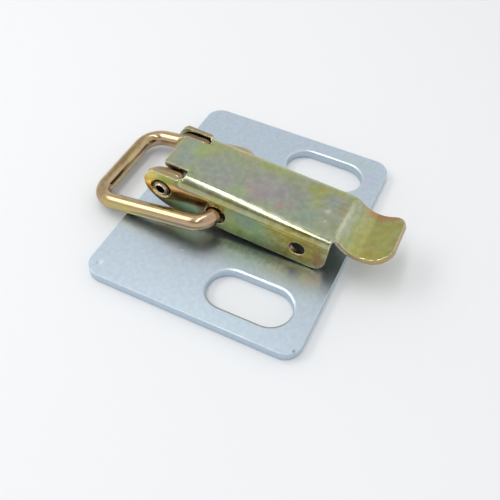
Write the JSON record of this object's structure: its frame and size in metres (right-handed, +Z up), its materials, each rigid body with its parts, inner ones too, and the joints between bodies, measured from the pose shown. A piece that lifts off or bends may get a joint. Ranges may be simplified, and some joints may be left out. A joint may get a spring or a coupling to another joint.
{
  "type": "toggle draw latch on slotted plate",
  "caption": "Over-centre toggle draw latch: a pressed steel lever with a curled pull tab and a wire loop, on a flat plate with slotted holes.",
  "frame": {"origin": "middle of the mounting plate's underside", "axes": "+Z up out of the plate, +Y towards the pull tab, so the wire loop pulls towards -Y"},
  "size_m": [0.08, 0.0904, 0.0188],
  "materials": {
    "clear_zinc": "steel, bright zinc plated with a pale blue tint, satin",
    "yellow_zinc": "steel, yellow-chromate zinc plated, satin with green, gold and pink tints"
  },
  "bodies": {
    "base": {"mounting_plate": "clear_zinc", "base_bracket": "yellow_zinc", "base_rivets": "yellow_zinc", "pivot_rivet": "yellow_zinc"},
    "lever": {"lever": "yellow_zinc"},
    "loop": {"loop": "yellow_zinc"}
  },
  "joints": [
    {"name": "lever_hinge", "type": "hinge", "parent": "base", "child": "lever", "pos_m": [0, -0.023, 0.0124], "axis": [1, 0, 0], "range_deg": [0, 160]},
    {"name": "loop_hinge", "type": "hinge", "parent": "lever", "child": "loop", "pos_m": [0, -0.00588, 0.01001], "axis": [-1, 0, 0], "range_deg": [0, 160]}
  ],
  "couplings": [
    {"joint": "loop_hinge", "follows": "lever_hinge", "ratio": 1}
  ]
}
